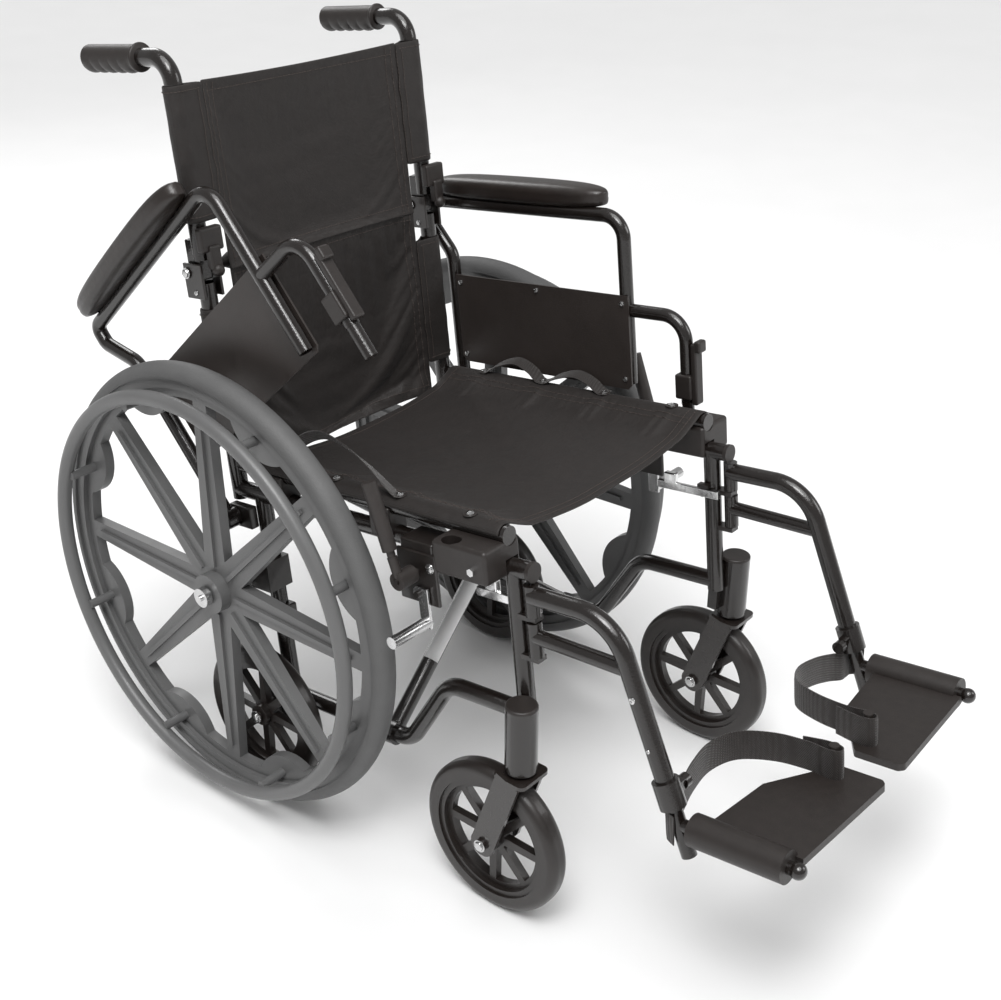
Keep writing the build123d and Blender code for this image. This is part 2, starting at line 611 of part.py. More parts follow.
def build():
    """Every node of the wheelchair by name, in world axes with Y from the big wheels' axle."""
    small_pos = at(0, 0, SMALL_AXLE_B)
    fork_parts, stem_bearings = caster_fork()
    side = {
        "side_frame": side_frame(),
        "frame_fittings": group(frame_fittings(), transport_axle(), stem_bearings),
        "frame_plastics": group(frame_plastics()),
        "frame_bolts": group(frame_bolts()),
        "lock_bracket": lock_bracket(),
        "lock_lever": group(lock_lever()),
        "lock_shoe": lock_shoe(),
        "upper_cane": upper_cane(),
        "push_grip": push_grip(),
        "back_latch": back_latch(),
        "mag_wheel": group(mag_wheel(), hub_bearings()),
        "tyre": tyre(),
        "handrim": handrim(),
        "quick_release_axle": axle(),
        "axle_button": axle_button(),
        "transport_wheel": group(small_wheel(SMALL_WHEEL_X, small_pos.Y)),
        "caster_fork": group(fork_parts),
        "caster_wheel": group(small_wheel(CASTER_X, CASTER_Y)),
        "hanger": group(hanger(), clamp_collar()),
        "hanger_lever": hanger_lever(),
        "footrest_extension": group(extension(), end_ball()),
        "footplate": footplate(),
        "heel_strap": heel_strap(),
    }
    arm = {
        "arm_frame": arm_frame(),
        "arm_pad": arm_pad(),
        "skirt_guard": skirt_guard(),
        "arm_latch": arm_latch(),
    }
    nodes = {}
    for name, shape in side.items():
        nodes["left_" + name] = shape
        nodes["right_" + name] = mirror(shape, about=Plane.YZ)
    for name, shape in arm.items():
        nodes["left_" + name] = shape
        nodes["right_" + name] = flipped_arm(mirror(shape, about=Plane.YZ))
    plugs = rail_plugs()
    brace_front = cross_brace(BRACE_A_FRONT, BRACE_A_FRONT + 2)
    brace_rear = cross_brace(BRACE_A_REAR, BRACE_A_REAR - 2)
    nodes["cross_brace_a"] = group(brace_front, plugs)
    nodes["cross_brace_b"] = mirror(group(brace_rear, plugs), about=Plane.YZ)
    nodes["seat_sling"] = seat_sling()
    nodes["back_upper_panel"] = back_panel(BACK_PIVOT[1] + 5, 620, 462, 620)
    nodes["back_lower_panel"] = back_panel(166, BACK_PIVOT[1] - 4, 172, 352)
    return nodes


def centre_shift(nodes):
    """How far along Y the whole chair moves, so that the origin is below the middle of its box."""
    boxes = [shape.bounding_box() for shape in nodes.values()]
    return -(min(box.min.Y for box in boxes) + max(box.max.Y for box in boxes)) / 2


def main():
    os.makedirs("parts", exist_ok=True)
    nodes = build()
    shift = centre_shift(nodes)
    for name, shape in nodes.items():
        export_step(shape.moved(Location((0, shift, 0))), f"parts/{name}.step")
    print("nodes", len(nodes), "shift_y", round(shift, 3))


if __name__ == "__main__":
    main()
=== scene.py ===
"""The looks of the folding manual wheelchair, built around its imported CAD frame.

World frame in metres: +X to the occupant's left, +Y to the rear, +Z up. Places on the raked side frames
are given in millimetres as (x, a, b): a runs rearwards along the seat rail from the big wheels' axle and
b rises square to it.
"""
import json
from math import asin, ceil, cos, exp, pi, radians, sin, sqrt

import bmesh
import bpy
from mathutils import Matrix, Vector, noise


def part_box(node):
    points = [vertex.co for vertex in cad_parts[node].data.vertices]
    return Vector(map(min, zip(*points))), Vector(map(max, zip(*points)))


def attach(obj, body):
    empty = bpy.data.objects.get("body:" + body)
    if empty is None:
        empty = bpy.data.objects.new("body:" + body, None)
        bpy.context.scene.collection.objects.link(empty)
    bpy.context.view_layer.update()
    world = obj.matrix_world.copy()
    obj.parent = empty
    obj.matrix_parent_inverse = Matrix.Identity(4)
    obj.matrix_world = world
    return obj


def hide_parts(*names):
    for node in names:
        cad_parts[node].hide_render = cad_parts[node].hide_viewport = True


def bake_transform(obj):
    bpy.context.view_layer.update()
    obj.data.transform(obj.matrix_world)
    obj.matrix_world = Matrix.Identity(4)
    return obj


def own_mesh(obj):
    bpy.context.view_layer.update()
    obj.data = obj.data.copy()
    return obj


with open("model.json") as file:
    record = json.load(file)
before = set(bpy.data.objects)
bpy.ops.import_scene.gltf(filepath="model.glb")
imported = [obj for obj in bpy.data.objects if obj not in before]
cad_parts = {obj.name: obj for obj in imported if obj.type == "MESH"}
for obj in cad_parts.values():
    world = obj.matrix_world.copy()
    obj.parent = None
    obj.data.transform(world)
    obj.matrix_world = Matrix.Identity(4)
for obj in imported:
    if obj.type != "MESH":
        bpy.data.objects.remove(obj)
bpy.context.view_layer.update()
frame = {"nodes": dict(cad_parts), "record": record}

# ---- driving sizes, in millimetres ---------------------------------------------------------------
MM = 0.001
RAKE = radians(6.5)
FRAME_X = 200.0
TUBE_R = 11.1
SEAT_RAIL_B = 146.0
LOW_RAIL_B = -185.0
CANE_A = 24.0
CANE_TOP_B = 652.0
BACK_PIVOT = (38.0, 398.0)
ARM_PIVOT = (12.0, 80.0)
ARM_FLIP = radians(36.0)
ARM_X = 234.0
ARM_PLACE = (-112.0, 415.4)     # middle of an armrest's pad, on the parting line of its moulding
FABRIC = 2.4                    # thickness of the nylon upholstery
SEAT_STRAP_WIDTH = 19.0
HEEL_STRAP_WIDTH = 38.0
SCREW_PLACES = (-60.0, -168.0, -275.0, -385.0)
FABRIC_TOP_B = SEAT_RAIL_B + TUBE_R + FABRIC    # the seat cloth's upper face, above a rail
SIDES = (("left", 1), ("right", -1))

low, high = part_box("left_tyre")
AXLE_Y, AXLE_Z = (low.y + high.y) / 2, (low.z + high.z) / 2


def at(x, a, b):
    """World place of a point given along and square to the raked side frame."""
    c, s = cos(RAKE), sin(RAKE)
    return Vector((x * MM, AXLE_Y + (a * c + b * s) * MM, AXLE_Z + (b * c - a * s) * MM))


ORIGIN = at(0, 0, 0)
X_DIR = Vector((1, 0, 0))
A_DIR = (at(0, 1, 0) - ORIGIN).normalized()
B_DIR = (at(0, 0, 1) - ORIGIN).normalized()


def arm_place(side):
    """The stored pose of one armrest: the right one is kept part-way back."""
    if side > 0:
        return Matrix.Identity(4)
    pivot = at(0, *ARM_PIVOT)
    turn = Matrix.Rotation(-ARM_FLIP, 4, "X")
    return Matrix.Translation(pivot) @ turn @ Matrix.Translation(-pivot)


# ---- materials -----------------------------------------------------------------------------------
def bump_height(tree, kind, size, coords):
    """A height signal whose features are about size metres across."""
    links = tree.links
    if kind == "weave":
        turned = tree.nodes.new("ShaderNodeMapping")
        turned.inputs["Rotation"].default_value = (radians(45), 0, 0)
        links.new(coords, turned.inputs["Vector"])
        threads = []
        for direction, source in (("X", coords), ("Y", turned.outputs["Vector"])):
            wave = tree.nodes.new("ShaderNodeTexWave")
            wave.bands_direction = direction
            wave.inputs["Scale"].default_value = 0.314 / size
            wave.inputs["Distortion"].default_value = 0.4
            links.new(source, wave.inputs["Vector"])
            threads.append(wave.outputs["Fac"])
        join = tree.nodes.new("ShaderNodeMath")
        join.operation = "MAXIMUM"
        links.new(threads[0], join.inputs[0])
        links.new(threads[1], join.inputs[1])
        return join.outputs[0]
    if kind == "grain":
        cells = tree.nodes.new("ShaderNodeTexVoronoi")
        cells.feature = "SMOOTH_F1"
        cells.inputs["Scale"].default_value = 1 / size
        links.new(coords, cells.inputs["Vector"])
        return cells.outputs["Distance"]
    cloud = tree.nodes.new("ShaderNodeTexNoise")
    cloud.inputs["Scale"].default_value = 1 / size
    cloud.inputs["Detail"].default_value = 5.0
    links.new(coords, cloud.inputs["Vector"])
    return cloud.outputs["Fac"]


def material(name, dark, light, rough, patch=0.03, metallic=0.0, coat=0.0, sheen=0.0, bumps=()):
    """A procedural finish: mottled colour, uneven roughness and the bumps listed as (kind, size, depth)."""
    mat = bpy.data.materials.new(name)
    mat.use_nodes = True
    tree = mat.node_tree
    nodes, links = tree.nodes, tree.links
    shader = nodes["Principled BSDF"]
    shader.inputs["Metallic"].default_value = metallic
    shader.inputs["Coat Weight"].default_value = coat
    shader.inputs["Coat Roughness"].default_value = 0.08
    shader.inputs["Sheen Weight"].default_value = sheen
    shader.inputs["Sheen Roughness"].default_value = 0.4
    coords = nodes.new("ShaderNodeTexCoord").outputs["Object"]
    mottle = bump_height(tree, "cloud", patch, coords)
    blend = nodes.new("ShaderNodeMix")
    blend.data_type = "RGBA"
    blend.inputs["A"].default_value = (*dark, 1)
    blend.inputs["B"].default_value = (*light, 1)
    links.new(mottle, blend.inputs["Factor"])
    links.new(blend.outputs["Result"], shader.inputs["Base Color"])
    spread = nodes.new("ShaderNodeMapRange")
    spread.inputs["To Min"].default_value = max(rough - 0.09, 0.02)
    spread.inputs["To Max"].default_value = min(rough + 0.09, 1.0)
    links.new(bump_height(tree, "cloud", patch / 4, coords), spread.inputs["Value"])
    links.new(spread.outputs["Result"], shader.inputs["Roughness"])
    normal = None
    for kind, size, depth in bumps:
        bump = nodes.new("ShaderNodeBump")
        bump.inputs["Distance"].default_value = depth
        links.new(bump_height(tree, kind, size, coords), bump.inputs["Height"])
        if normal:
            links.new(normal, bump.inputs["Normal"])
        normal = bump.outputs["Normal"]
    if normal:
        links.new(normal, shader.inputs["Normal"])
    return mat


def grey(level, warm=0.0):
    """A linear colour of that level, a little redder where warm is above 0."""
    return (level * (1 + warm), level, level * (1 - warm * 0.4))


FINISHES = {
    "frame_paint": dict(dark=grey(0.0042, 0.35), light=grey(0.0098, 0.35), rough=0.22, patch=0.004, coat=0.5,
                        bumps=[("cloud", 0.0022, 0.0003)]),
    "bracket_steel": dict(dark=grey(0.006, 0.3), light=grey(0.0144, 0.3), rough=0.34, patch=0.01, coat=0.4,
                          bumps=[("cloud", 0.0016, 0.00018)]),
    "zinc_steel": dict(dark=grey(0.5), light=grey(0.72), rough=0.24, patch=0.006, metallic=1.0,
                       bumps=[("cloud", 0.0009, 0.00006)]),
    "chrome": dict(dark=grey(0.72), light=grey(0.85), rough=0.1, patch=0.02, metallic=1.0,
                   bumps=[("cloud", 0.004, 0.00003)]),
    "lever_rubber": dict(dark=grey(0.0168, 0.2), light=grey(0.0276, 0.2), rough=0.5, patch=0.01,
                         bumps=[("grain", 0.0012, 0.00012)]),
    "black_plastic": dict(dark=grey(0.011, 0.25), light=grey(0.02, 0.25), rough=0.44, patch=0.012,
                          bumps=[("grain", 0.0009, 0.00012)]),
    "guard_plastic": dict(dark=grey(0.0186, 0.25), light=grey(0.031, 0.25), rough=0.42, patch=0.05,
                          bumps=[("grain", 0.0014, 0.00016)]),
    "grip_rubber": dict(dark=grey(0.012, 0.25), light=grey(0.0216, 0.25), rough=0.46, patch=0.01,
                        bumps=[("grain", 0.001, 0.00014)]),
    "pad_vinyl": dict(dark=grey(0.0077, 0.4), light=grey(0.0154, 0.4), rough=0.38, patch=0.03, coat=0.15,
                      bumps=[("grain", 0.0011, 0.00016), ("cloud", 0.012, 0.0005)]),
    "wheel_plastic": dict(dark=grey(0.102), light=grey(0.1292), rough=0.4, patch=0.06,
                          bumps=[("grain", 0.0013, 0.00012)]),
    "wheel_tyre": dict(dark=grey(0.084), light=grey(0.112), rough=0.6, patch=0.03,
                       bumps=[("cloud", 0.002, 0.0004)]),
    "rim_plastic": dict(dark=grey(0.102), light=grey(0.136), rough=0.36, patch=0.05,
                        bumps=[("grain", 0.0013, 0.0001)]),
    "caster_rubber": dict(dark=grey(0.0072, 0.3), light=grey(0.0156, 0.3), rough=0.4, patch=0.02, coat=0.2,
                          bumps=[("cloud", 0.0016, 0.0002)]),
    "fork_steel": dict(dark=grey(0.0072, 0.3), light=grey(0.0156, 0.3), rough=0.3, patch=0.01, coat=0.6,
                       bumps=[("cloud", 0.002, 0.0002)]),
    "webbing": dict(dark=grey(0.0108, 0.25), light=grey(0.0216, 0.25), rough=0.72, patch=0.006, sheen=0.25,
                    bumps=[("weave", 0.0021, 0.0006)]),
    "nylon": dict(dark=grey(0.0066, 0.35), light=grey(0.0121, 0.35), rough=0.6, patch=0.02, sheen=0.06,
                  bumps=[("weave", 0.0011, 0.00022), ("cloud", 0.02, 0.0016)]),
    "thread": dict(dark=grey(0.03, 0.3), light=grey(0.06, 0.3), rough=0.6, patch=0.003,
                   bumps=[("cloud", 0.0006, 0.0001)]),
    "label": dict(dark=grey(0.76), light=grey(0.84), rough=0.4, patch=0.02, coat=0.3,
                  bumps=[("cloud", 0.004, 0.00005)]),
    "floor": dict(dark=grey(0.82), light=grey(0.86), rough=0.55, patch=0.6, bumps=[("cloud", 0.02, 0.0001)]),
}
MATERIALS = {slot: material(slot, **finish) for slot, finish in FINISHES.items()}


def finish_cad_nodes():
    """Every carried-over CAD node takes the procedural finish of its slot."""
    for part in frame["record"]["subparts"]:
        node = frame["nodes"][part["node"]]
        node.data.materials.clear()
        node.data.materials.append(MATERIALS[part["material_slot"]])


# ---- mesh helpers --------------------------------------------------------------------------------
def mesh_piece(name, verts, faces, slot, sharp=40.0):
    """A mesh object with outward normals, smooth but for edges steeper than sharp degrees."""
    mesh = bpy.data.meshes.new(name)
    mesh.from_pydata([tuple(v) for v in verts], [], faces)
    shape = bmesh.new()
    shape.from_mesh(mesh)
    bmesh.ops.recalc_face_normals(shape, faces=shape.faces)
    shape.to_mesh(mesh)
    shape.free()
    mesh.shade_smooth()
    mesh.set_sharp_from_angle(angle=radians(sharp))
    mesh.materials.append(MATERIALS[slot])
    piece = bpy.data.objects.new(name, mesh)
    bpy.context.collection.objects.link(piece)
    return piece


def apply_modifiers(piece):
    """Write the modifiers' result into the piece's own mesh."""
    bpy.context.view_layer.update()
    graph = bpy.context.evaluated_depsgraph_get()
    result = bpy.data.meshes.new_from_object(piece.evaluated_get(graph))
    piece.modifiers.clear()
    piece.data = result


def thicken(piece, thickness, levels=1):
    """Give a sheet its thickness and round it off."""
    solid = piece.modifiers.new("thickness", "SOLIDIFY")
    solid.thickness = thickness * MM
    solid.offset = 0
    smooth = piece.modifiers.new("smooth", "SUBSURF")
    smooth.levels = levels
    apply_modifiers(piece)
    piece.data.shade_smooth()


class Lump:
    """Collects many small shapes that share one object."""

    def __init__(self):
        self.verts, self.faces = [], []

    def add(self, verts, faces):
        first = len(self.verts)
        self.verts.extend(verts)
        self.faces.extend([tuple(first + i for i in face) for face in faces])

    def lathe(self, base, axis, profile, segments=24, lobes=0, depth=0.0):
        """Turn the (radius, height) profile about axis; lobes shape it into a hexagon or a star."""
        axis = axis.normalized()
        side = axis.orthogonal().normalized()
        other = axis.cross(side)
        verts = []
        for radius, height in profile:
            for k in range(segments):
                angle = 2 * pi * k / segments
                r = radius * (1 + depth * cos(lobes * angle))
                verts.append(base + (side * cos(angle) + other * sin(angle)) * r * MM + axis * height * MM)
        faces = []
        rings = len(profile)
        for i in range(rings - 1):
            for k in range(segments):
                n = (k + 1) % segments
                low_ring, high_ring = i * segments, (i + 1) * segments
                faces.append((low_ring + k, low_ring + n, high_ring + n, high_ring + k))
        faces.append(tuple(range(segments)))
        faces.append(tuple((rings - 1) * segments + k for k in range(segments)))
        self.add(verts, faces)

    def box(self, centre, x_dir, y_dir, sizes, bevel=0.2):
        """A small block with chamfered edges, for slots and stitches."""
        z_dir = x_dir.cross(y_dir).normalized()
        dx, dy, dz = (s * MM / 2 for s in sizes)
        cut = bevel * MM
        verts = []
        for level, inset in ((-dz, cut), (-dz + cut, 0), (dz - cut, 0), (dz, cut)):
            for sx, sy in ((-1, -1), (1, -1), (1, 1), (-1, 1)):
                place = x_dir * sx * (dx - inset) + y_dir * sy * (dy - inset) + z_dir * level
                verts.append(centre + place)
        faces = [(0, 1, 2, 3), (12, 13, 14, 15)]
        for i in range(3):
            for k in range(4):
                n = (k + 1) % 4
                faces.append((4 * i + k, 4 * i + n, 4 * i + 4 + n, 4 * i + 4 + k))
        self.add(verts, faces)

    def piece(self, name, slot, sharp=40.0):
        return mesh_piece(name, self.verts, self.faces, slot, sharp)


def screw(lump, base, axis, radius=4.5, washer=0.0):
    """A pan-head screw with a cross recess, standing on base."""
    lump.lathe(base, axis, [
        (radius * 0.35, 1.1), (radius * 0.4, 2.0), (radius * 0.72, 1.9), (radius * 0.95, 1.3),
        (radius, 0.5), (radius, -0.4),
    ])
    side = axis.orthogonal().normalized()
    other = axis.cross(side).normalized()
    for along, across in ((side, other), (other, side)):
        lump.box(base + axis * 1.5 * MM, along, across, (radius * 0.8, radius * 0.16, 1.0), 0.05)
    if washer:
        rim = [(washer, -0.6), (washer, 0.1), (washer - 0.4, 0.3)]
        lump.lathe(base, axis, [(radius, -0.6), *rim, (radius, 0.3)])


def hex_bolt(lump, base, axis, radius=6.0, height=4.0, washer=True):
    """A hexagon bolt head with its chamfer and washer."""
    lump.lathe(base, axis, [
        (radius * 0.8, height), (radius * 0.96, height * 0.86), (radius, height * 0.7), (radius, 0.0),
    ], segments=48, lobes=6, depth=0.055)
    if washer:
        lump.lathe(base, axis, [(radius * 1.35, 0.9), (radius * 1.4, 0.6), (radius * 1.4, -0.3)])


def smooth_line(points, steps=10):
    """A Catmull-Rom line through the points."""
    ends = [2 * points[0] - points[1], *points, 2 * points[-1] - points[-2]]
    line = []
    for i in range(len(points) - 1):
        p0, p1, p2, p3 = ends[i:i + 4]
        for k in range(steps):
            t = k / steps
            line.append(0.5 * (2 * p1 + (p2 - p0) * t + (2 * p0 - 5 * p1 + 4 * p2 - p3) * t * t
                               + (3 * p1 - p0 - 3 * p2 + p3) * t ** 3))
    line.append(points[-1])
    return line


def band(name, line, across, width, thickness, slot):
    """A webbing strap along a line; across gives the direction of its width at each share of the way."""
    rows = 7
    verts, faces = [], []
    count = len(line)
    for i, place in enumerate(line):
        tangent = (line[min(i + 1, count - 1)] - line[max(i - 1, 0)]).normalized()
        wide = across(i / (count - 1))
        wide = (wide - tangent * wide.dot(tangent)).normalized()
        flat = tangent.cross(wide)
        for side in (1, -1):
            for k in range(rows):
                t = side * (2 * k / (rows - 1) - 1)
                edge = 1 - 0.45 * abs(t) ** 8
                verts.append(place + wide * t * width * MM / 2 + flat * side * edge * thickness * MM / 2)
    ring = 2 * rows
    for i in range(count - 1):
        for k in range(ring):
            n = (k + 1) % ring
            faces.append((i * ring + k, i * ring + n, (i + 1) * ring + n, (i + 1) * ring + k))
    faces.append(tuple(range(ring)))
    faces.append(tuple((count - 1) * ring + k for k in range(ring)))
    return mesh_piece(name, verts, faces, slot, 50)


def sheet_grid(name, rows, cols, place, slot, shown=None):
    """A structured sheet; place(u, v) gives a point for u across and v along, and shown leaves cells out."""
    verts = [place(j / (cols - 1), i / (rows - 1)) for i in range(rows) for j in range(cols)]
    faces = []
    for i in range(rows - 1):
        for j in range(cols - 1):
            if shown is None or shown((j + 0.5) / (cols - 1), (i + 0.5) / (rows - 1)):
                k = i * cols + j
                faces.append((k, k + 1, k + cols + 1, k + cols))
    return mesh_piece(name, verts, faces, slot, 180)


def settle(piece, pinned, grow, cap, frames=22):
    """Let the cloth grow a little between its pinned edges, so that it sags and wrinkles as cloth does."""
    scene = bpy.context.scene
    before = [v.co.copy() for v in piece.data.vertices]
    group = piece.vertex_groups.new(name="pinned")
    group.add(pinned, 1.0, "REPLACE")
    cloth = piece.modifiers.new("cloth", "CLOTH")
    cloth.settings.vertex_group_mass = "pinned"
    cloth.settings.quality = 5
    cloth.settings.mass = 0.15
    cloth.settings.tension_stiffness = 12
    cloth.settings.compression_stiffness = 12
    cloth.settings.bending_stiffness = 0.35
    cloth.settings.shrink_min = -grow
    cloth.settings.effector_weights.gravity = 0.6
    cloth.collision_settings.use_collision = False
    for number in range(1, frames + 1):
        scene.frame_set(number)
    graph = bpy.context.evaluated_depsgraph_get()
    after = [v.co.copy() for v in piece.evaluated_get(graph).data.vertices]
    piece.modifiers.clear()
    piece.vertex_groups.clear()
    scene.frame_set(1)
    for vert, old, new in zip(piece.data.vertices, before, after):
        shift = new - old
        if shift.length > cap * MM:
            shift *= cap * MM / shift.length
        vert.co = old + shift


def stitches(name, lines, slot="thread", pitch=4.5, length=3.0, width=0.9):
    """Rows of stitches; each line is a list of (place, normal) on the cloth."""
    lump = Lump()
    for line in lines:
        carried = 0.0
        for (p0, n0), (p1, n1) in zip(line, line[1:]):
            span = (p1 - p0).length / MM
            along = (p1 - p0).normalized()
            while carried < span:
                t = carried / span
                normal = (n0 * (1 - t) + n1 * t).normalized()
                across = normal.cross(along).normalized()
                lump.box(p0.lerp(p1, t) + normal * 0.25 * MM, along, across, (length, width, 0.9), 0.25)
                carried += pitch
            carried -= span
    return lump.piece(name, slot)


# ---- seat ----------------------------------------------------------------------------------------
SEAT_WRAP = TUBE_R + 1.6        # radius of the cloth's middle as it goes over a seat rail
SEAT_SAG = 20.0
SEAT_FRONT, SEAT_BACK = -436.0, 3.0
SEAT_DEPTH = SEAT_BACK - SEAT_FRONT
FRONT_DIP = 5.0                 # how much deeper the seat sags at its front edge
FRONT_PULL = 7.0                # how far the middle of the front edge is drawn back
SCREW_REACH = 9.0               # the cloth this close to a screw is held flat further in


def seat_section():
    """Cross-section of the seat from one rail to the other: its (x, b) by share of the way, and its width."""
    leave = asin(0.2)
    edge_x = FRAME_X - SEAT_WRAP * sin(leave)
    edge_b = SEAT_RAIL_B + SEAT_WRAP * cos(leave)
    wrap = SEAT_WRAP * (leave + pi / 2 - 0.12)
    half = edge_x + wrap

    def point(share, v):
        along = abs(share) * half
        side = 1 if share >= 0 else -1
        if along <= edge_x:
            front = exp(-(v * SEAT_DEPTH / 60) ** 2)
            sag = (SEAT_SAG + FRONT_DIP * front) * (1 - (along / edge_x) ** 2)
            return side * along, edge_b - sag
        angle = pi / 2 + leave - (along - edge_x) / SEAT_WRAP
        return side * (FRAME_X + SEAT_WRAP * cos(angle)), SEAT_RAIL_B + SEAT_WRAP * sin(angle)

    return point, 2 * half, edge_x / half


def seat():
    """Nylon sling over both seat rails, with hems, stitching and its own wrinkles."""
    point, width, flat_share = seat_section()
    rows, cols = 90, 100

    def place(u, v):
        share = 2 * u - 1
        x, b = point(share, v)
        a = SEAT_FRONT + v * SEAT_DEPTH
        a += FRONT_PULL * (1 - share * share) * (1 - v) ** 6
        pull = max(0.0, 1 - abs(share) / flat_share)
        near = Vector((x / 90, a / 45, 0.3))
        b += pull * 2.2 * noise.noise(near)
        return at(x, a, b)

    cover = sheet_grid("seat_cover", rows, cols, place, "nylon")
    pinned = []
    for i in range(rows):
        for j in range(cols):
            share = abs(2 * j / (cols - 1) - 1)
            a = SEAT_FRONT + i / (rows - 1) * SEAT_DEPTH
            near_screw = min(abs(a - s) for s in SCREW_PLACES) < SCREW_REACH
            if share > flat_share - (0.08 if near_screw else 0.045):
                pinned.append(i * cols + j)
    settle(cover, pinned, 0.026, 10)
    vertices = cover.data.vertices

    def stitch_line(indices):
        line = []
        for k in indices:
            v = vertices[k]
            line.append((v.co + v.normal * (FABRIC / 2) * MM, v.normal.copy()))
        return line

    inner = ceil((1 - flat_share) / 2 * cols)
    lines = [stitch_line(i * cols + j for j in range(4, cols - 4)) for i in (2, 4, rows - 4)]
    lines += [stitch_line(i * cols + j for i in range(2, rows - 2))
              for j in (inner + 3, inner + 5, cols - inner - 4, cols - inner - 6)]
    faces_up = all(line[len(line) // 2][1].z > 0 for line in lines)
    if not faces_up:
        lines = [[(p - FABRIC * MM * n, -n) for p, n in line] for line in lines]
    seams = stitches("seat_stitching", lines)
    thicken(cover, FABRIC)
    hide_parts("seat_sling")
    for piece in (cover, seams):
        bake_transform(piece)


# ---- back ----------------------------------------------------------------------------------------
SEAM_X = 166.0                  # where the panel meets a cane's sleeve
SLEEVE_R = TUBE_R + 1.9


def back_panel(name, node, body, b0, b1, wrinkle, grow, cap):
    """The cloth between the two cane sleeves; the upper panel laps over the lower one at the fold."""
    rows, cols = max(24, int((b1 - b0) / 4.5)), 74
    upper = b0 > BACK_PIVOT[1] - 20

    def place(u, v):
        x = (2 * u - 1) * SEAM_X
        b = b0 + v * (b1 - b0)
        hollow_share = 1 - (x / SEAM_X) ** 2
        a = CANE_A - 7 + 10 * hollow_share
        a += wrinkle * hollow_share * noise.noise(Vector((x / 120, b / 26, 2.7)))
        if upper:
            a -= 3.2 * exp(-v * 26)
            b -= 4 * hollow_share * max(0.0, v * 10 - 9)
        return at(x, a, b)

    panel = sheet_grid(name, rows, cols, place, "nylon")
    pinned = [i * cols + j for i in range(rows) for j in (0, 1, cols - 2, cols - 1)]
    for i in (0, rows - 1):
        pinned += [i * cols + j for j in range(cols)]
    settle(panel, pinned, grow, cap)
    vertices = panel.data.vertices
    front = 1 if vertices[(rows // 2) * cols + cols // 2].normal.y < 0 else -1

    def line(indices):
        return [(vertices[k].co + vertices[k].normal * front * (FABRIC / 2) * MM, vertices[k].normal * front)
                for k in indices]

    lines = [line([i * cols + j for i in range(1, rows - 1)]) for j in (2, 4, cols - 3, cols - 5)]
    lines += [line([i * cols + j for j in range(2, cols - 2)]) for i in (3, rows - 4)]
    seams = stitches(name + "_stitching", lines)
    thicken(panel, FABRIC)
    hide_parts(node)
    for piece in (panel, seams):
        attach(piece, body)
        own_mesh(piece)


def sleeve(name, side, body, b0, b1):
    """A sewn sleeve round one cane, with its flat seam towards the panel."""
    section = [(SEAM_X - 1, CANE_A - 8.2), (SEAM_X + 8, CANE_A - 9.5)]
    for k in range(15):
        angle = radians(-115 + k * 230 / 14)
        section.append((FRAME_X + SLEEVE_R * cos(angle), CANE_A + SLEEVE_R * sin(angle)))
    section += [(SEAM_X + 8, CANE_A - 4.4), (SEAM_X - 1, CANE_A - 5.6)]
    rows = max(12, int((b1 - b0) / 7))
    count = len(section)
    verts, faces = [], []
    for i in range(rows):
        b = b0 + (b1 - b0) * i / (rows - 1)
        for k, (x, a) in enumerate(section):
            loose = 1.3 * noise.noise(Vector((k * 0.35, b / 22, side * 3.1)))
            out = 1 + max(loose, 0) * 0.09
            verts.append(at(side * (FRAME_X + (x - FRAME_X) * out), CANE_A + (a - CANE_A) * out, b))
    for i in range(rows - 1):
        for k in range(count - 1):
            faces.append((i * count + k, i * count + k + 1, (i + 1) * count + k + 1, (i + 1) * count + k))
    piece = mesh_piece(name, verts, faces, "nylon", 180)
    vertices = piece.data.vertices
    lines = []
    for k in (1, 0):
        column = [vertices[i * count + k].co for i in range(1, rows - 1)]
        lines.append([(place - A_DIR * (FABRIC / 2) * MM, -A_DIR) for place in column])
    for i in (1, rows - 2):
        ring = []
        for k in range(1, count - 2):
            x, a = section[k]
            outward = at(side * (x - FRAME_X), a - CANE_A, 0) - ORIGIN
            outward = outward.normalized()
            ring.append((vertices[i * count + k].co + outward * (FABRIC / 2) * MM, outward))
        lines.append(ring)
    seams = stitches(name + "_stitching", lines)
    thicken(piece, FABRIC - 0.6)
    for part in (piece, seams):
        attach(part, body)
    return piece


def hinge_roll():
    """A soft roll along the back's hinge line, which the cloth turns over as the back folds."""
    lump = Lump()
    profile = []
    radius, stations = 10.6, 60
    length = 2 * (SEAM_X - 2)
    for k in range(stations):
        share = k / (stations - 1)
        puff = radius + 0.7 * sin(share * 41) + 0.5 * sin(share * 17 + 1)
        end = min(1.0, 0.35 + 12 * min(share, 1 - share))
        profile.append((puff * end, share * length))
    lump.lathe(at(2 - SEAM_X, *BACK_PIVOT), X_DIR, profile, segments=28)
    roll = lump.piece("back_hinge_roll", "nylon", 180)
    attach(roll, "right_side")
    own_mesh(roll)


def back():
    """Upholstery of the folding back: two panels, four sleeves and the hinge roll."""
    seam_b = BACK_PIVOT[1]
    back_panel("back_cover_upper", "back_upper_panel", "right_upper_back", seam_b - 6, 622, 1.5, 0.009, 6)
    back_panel("back_cover_lower", "back_lower_panel", "right_side", 128, seam_b + 0.5, 5.0, 0.034, 13)
    for side_name, side in SIDES:
        sleeve(side_name + "_upper_sleeve", side, side_name + "_upper_back", 459, 621)
        sleeve(side_name + "_lower_sleeve", side, side_name + "_side", 172, 352)
    hinge_roll()


